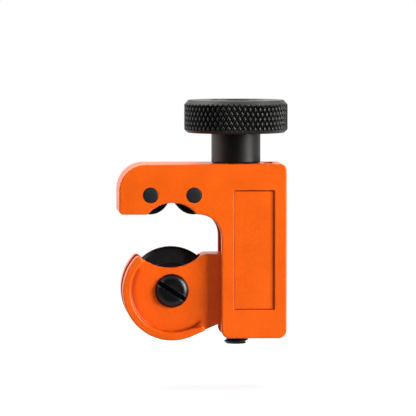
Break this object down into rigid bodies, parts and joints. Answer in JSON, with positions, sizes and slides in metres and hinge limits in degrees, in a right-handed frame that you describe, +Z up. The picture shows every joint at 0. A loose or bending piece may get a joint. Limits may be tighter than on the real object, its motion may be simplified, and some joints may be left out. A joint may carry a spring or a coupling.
{
  "type": "mini tube cutter",
  "caption": "Compact C-frame cutter for small soft tube: rollers in the arm, and a sliding wheel fed by a knurled knob on a captive screw.",
  "frame": {"origin": "middle of the bottom of the whole tool's box, at the level of the feed screw's lower end", "axes": "+Z up along the feed screw towards the knob, +X from the jaw towards the column's spine, -Y out of the front face that shows the wheel screw's slotted head"},
  "size_m": [0.0354, 0.0216, 0.0507],
  "materials": {
    "frame_paint": "satin powder paint on a zinc die casting, with a fine grain",
    "slide_paint": "satin powder paint on a zinc die casting, with a fine grain",
    "knob_steel": "black oxide, turned and diamond knurled, satin",
    "black_steel": "black oxide, oiled, satin",
    "wheel_steel": "dark hardened tool steel with a ground bevel",
    "pin_steel": "blackened straight pin with a dull cut end",
    "spring_steel": "phosphated spring steel"
  },
  "bodies": {
    "frame": {"frame": "frame_paint", "roller_pin_left": "pin_steel", "roller_pin_right": "pin_steel"},
    "feed": {"feed_screw": "black_steel", "knob": "knob_steel", "clip_washer": "spring_steel", "retaining_clip": "spring_steel"},
    "carriage": {"slide": "slide_paint", "wheel_screw": "black_steel"},
    "wheel": {"cutter_wheel": "wheel_steel"},
    "left_roller": {"roller_left": "black_steel"},
    "right_roller": {"roller_right": "black_steel"}
  },
  "joints": [
    {"name": "knob_turn", "type": "hinge", "parent": "frame", "child": "feed", "pos_m": [0.00692, 0, 0.0376], "axis": [0, 0, 1], "range_deg": [-1958.4, 2534.4]},
    {"name": "carriage_slide", "type": "slide", "parent": "frame", "child": "carriage", "axis": [0, 0, 1], "range_m": [-0.0088, 0.0068]},
    {"name": "wheel_spin", "type": "hinge", "parent": "carriage", "child": "wheel", "pos_m": [-0.00668, 0, 0.0113], "axis": [0, 1, 0], "continuous": true},
    {"name": "roller_left_spin", "type": "hinge", "parent": "frame", "child": "left_roller", "pos_m": [-0.01117, 0, 0.0312], "axis": [0, 1, 0], "continuous": true},
    {"name": "roller_right_spin", "type": "hinge", "parent": "frame", "child": "right_roller", "pos_m": [-0.00217, 0, 0.0312], "axis": [0, 1, 0], "continuous": true}
  ],
  "couplings": [
    {"joint": "knob_turn", "follows": "carriage_slide", "rad_per_m": -5026.5}
  ]
}
